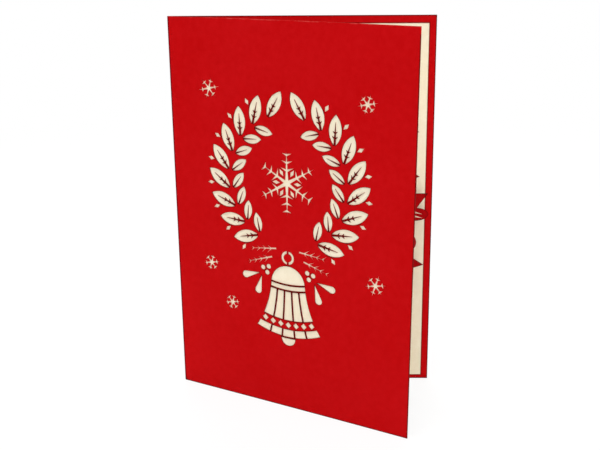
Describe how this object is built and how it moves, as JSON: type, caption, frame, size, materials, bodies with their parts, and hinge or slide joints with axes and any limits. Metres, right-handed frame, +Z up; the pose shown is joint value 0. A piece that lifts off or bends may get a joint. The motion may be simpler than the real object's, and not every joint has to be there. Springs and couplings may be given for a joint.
{
  "type": "greeting card",
  "caption": "Tall folded greeting card, red with a picture cut through its front over a cream liner, standing slightly open on its lower edges, with a slotted fold-out tree inside.",
  "frame": {"origin": "middle of the card's box on the surface that it stands on", "axes": "+Z up along the spine, +X along the back panel away from the spine, -Y towards the front panel"},
  "size_m": [0.12, 0.0584, 0.178],
  "materials": {
    "cover_red": "matte",
    "liner_cream": "matte",
    "fold_out_cream": "matte",
    "fold_out_red": "matte"
  },
  "bodies": {
    "root": {"cover": "cover_red", "liner": "liner_cream", "fir_row": "fold_out_red", "fir_row_strut": "fold_out_red", "tree_sheet_from_back_1": "fold_out_cream", "tree_sheet_from_back_2": "fold_out_cream", "tree_sheet_from_back_3": "fold_out_cream", "tree_sheet_from_back_4": "fold_out_cream", "tree_sheet_from_back_5": "fold_out_cream", "tree_sheet_from_front_1": "fold_out_red", "tree_sheet_from_front_2": "fold_out_red", "tree_sheet_from_front_3": "fold_out_red", "tree_sheet_from_front_4": "fold_out_red", "tree_sheet_from_front_5": "fold_out_red"}
  },
  "joints": []
}
